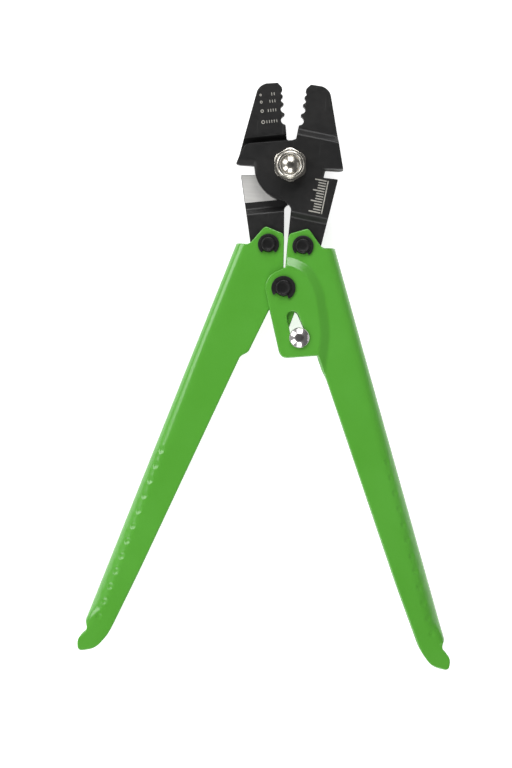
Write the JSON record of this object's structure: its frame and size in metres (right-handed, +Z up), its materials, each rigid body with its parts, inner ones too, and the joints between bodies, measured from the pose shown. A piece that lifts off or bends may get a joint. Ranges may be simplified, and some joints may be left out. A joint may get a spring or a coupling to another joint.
{
  "type": "compound lever crimping plier",
  "caption": "Long-handled compound-lever crimping plier with graded half-round nests, a side wire cutter, pressed channel handles and a sliding handle lock.",
  "frame": {"origin": "on the jaw pivot's axis, on the outer face of the pivot bolt's head, on which the tool lies", "axes": "+X to the right handle, +Y from the grips towards the jaw tips, +Z up, out of the side that carries the nut"},
  "size_m": [0.1564, 0.2424, 0.0249],
  "materials": {
    "jaw_steel": "black oxide on stamped steel, with bare ground steel beside the cutter",
    "handle_coat": "satin green powder coat on pressed sheet steel",
    "pin_steel": "black oxide pins and spring clips",
    "bright_nut": "bright nickel-plated steel",
    "stud_bright": "polished steel",
    "nylon": "natural nylon"
  },
  "bodies": {
    "left_handle": {"left_handle": "handle_coat", "left_toggle_pin": "pin_steel", "left_toggle_clip_front": "pin_steel", "left_toggle_clip_rear": "pin_steel"},
    "right_handle": {"right_handle": "handle_coat", "right_toggle_pin": "pin_steel", "right_toggle_clip_front": "pin_steel", "right_toggle_clip_rear": "pin_steel", "handle_pivot_pin": "pin_steel", "handle_pivot_clip_front": "pin_steel", "handle_pivot_clip_rear": "pin_steel"},
    "left_jaw": {"left_jaw": "jaw_steel", "pivot_bolt": "bright_nut", "pivot_nut": "bright_nut", "nut_lock_insert": "nylon"},
    "right_jaw": {"right_jaw": "jaw_steel"},
    "lock_stud": {"lock_stud": "stud_bright", "lock_stud_cap": "stud_bright"}
  },
  "joints": [
    {"name": "handle_pivot", "type": "hinge", "parent": "left_handle", "child": "right_handle", "pos_m": [0, -0.0514, 0.0105], "axis": [0, 0, -1], "range_deg": [0, 33.75]},
    {"name": "left_toggle", "type": "hinge", "parent": "left_handle", "child": "left_jaw", "pos_m": [-0.00725, -0.0334, 0.0105], "axis": [0, 0, -1], "range_deg": [0, 25.48]},
    {"name": "jaw_pivot", "type": "hinge", "parent": "left_jaw", "child": "right_jaw", "pos_m": [0, 0, 0.0105], "axis": [0, 0, 1], "range_deg": [0, 17.2]},
    {"name": "lock_slide", "type": "slide", "parent": "right_handle", "child": "lock_stud", "axis": [-0.3551, 0.9348, 0], "range_m": [0, 0.005]}
  ],
  "couplings": [
    {"joint": "left_toggle", "follows": "handle_pivot", "ratio": 0.75482},
    {"joint": "jaw_pivot", "follows": "handle_pivot", "ratio": 0.50963}
  ]
}
